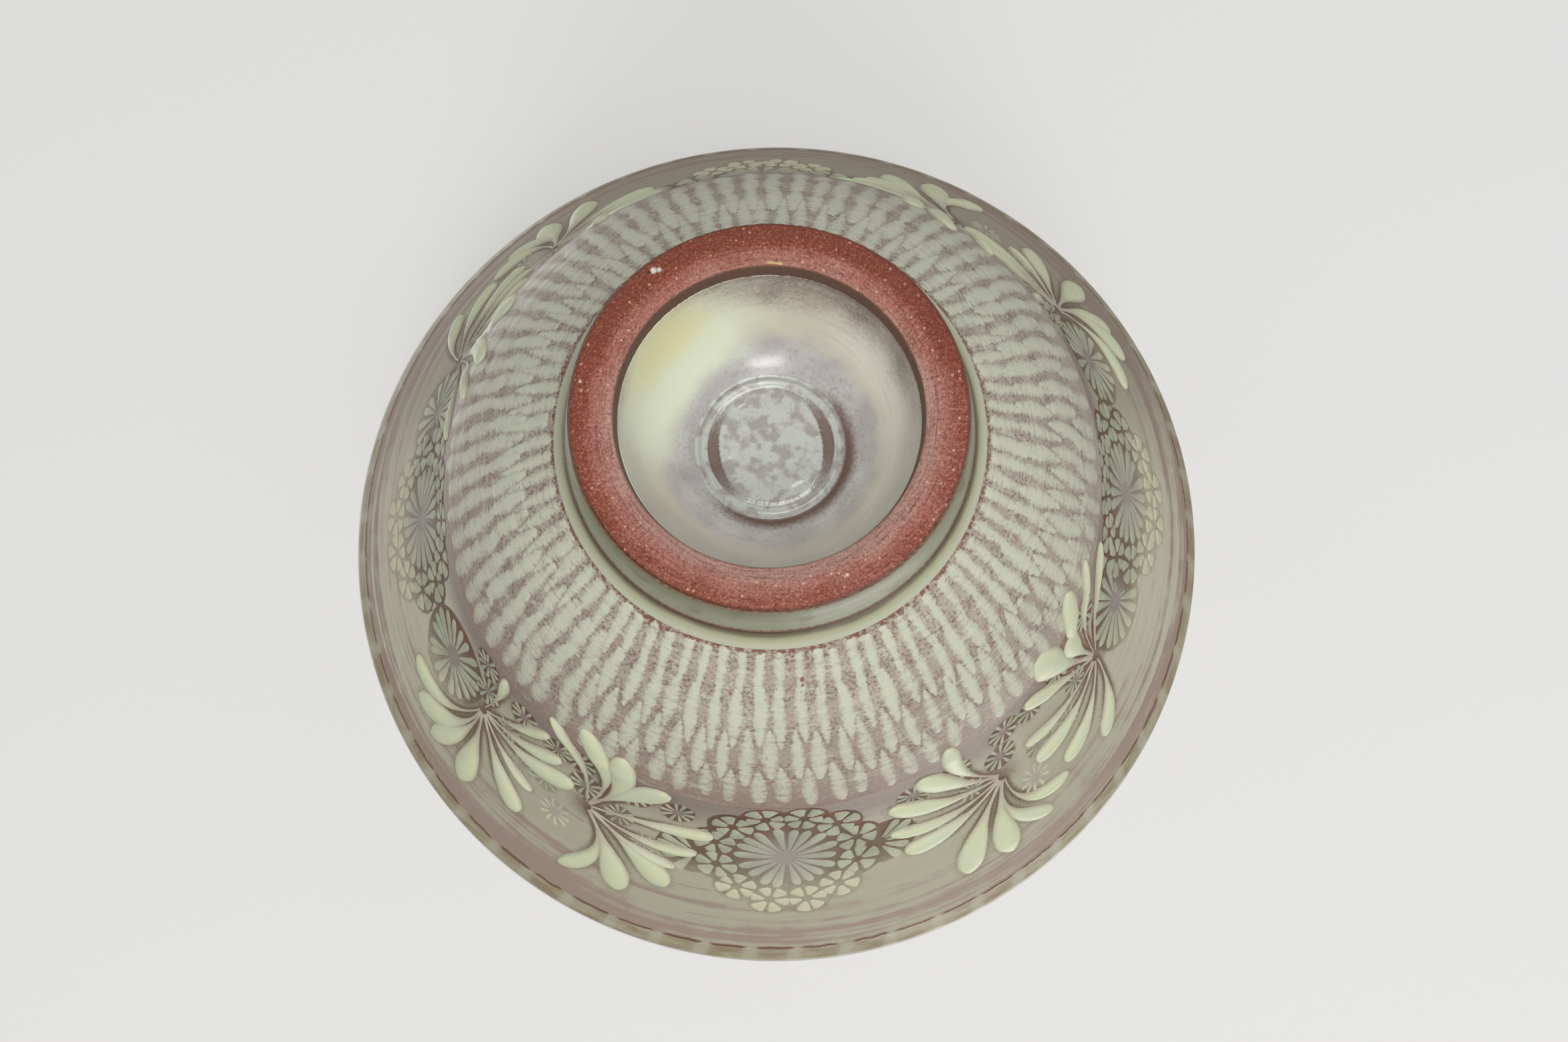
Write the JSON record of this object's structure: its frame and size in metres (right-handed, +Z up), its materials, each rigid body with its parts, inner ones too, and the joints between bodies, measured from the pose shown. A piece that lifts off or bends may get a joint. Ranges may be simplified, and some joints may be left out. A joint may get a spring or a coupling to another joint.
{
  "type": "sake cup",
  "caption": "Small footed drinking cup of red stoneware with a flared rim, inlaid slip strokes, stamped flowers, raised slip leaves and a thin glaze.",
  "frame": {"origin": "middle of the foot's resting face", "axes": "+Z up along the cup's axis to the rim; -Y is the side with the stamped flower that the picture shows nearest"},
  "size_m": [0.065, 0.065, 0.0382],
  "materials": {
    "red_clay": "bare, fired, slightly rough",
    "pad_glaze": "glossy",
    "well_glaze": "glossy, pooled",
    "foot_glaze": "satin",
    "iron_line": "satin",
    "ground_glaze": "satin, speckled",
    "inlay_slip": "satin",
    "trailed_slip": "satin",
    "lip_line": "satin",
    "rim_glaze": "satin, mottled",
    "inner_glaze": "glossy"
  },
  "bodies": {
    "root": {"clay_body": "red_clay", "foot_ring": "red_clay", "seal_pad": "pad_glaze", "well_glaze": "well_glaze", "foot_glaze": "foot_glaze", "foot_line": "iron_line", "body_glaze": "ground_glaze", "stroke_inlay": "inlay_slip", "band_glaze": "ground_glaze", "flower_inlay": "inlay_slip", "slip_sprays": "trailed_slip", "lip_line": "lip_line", "rim_band": "rim_glaze", "inner_glaze": "inner_glaze"}
  },
  "joints": []
}
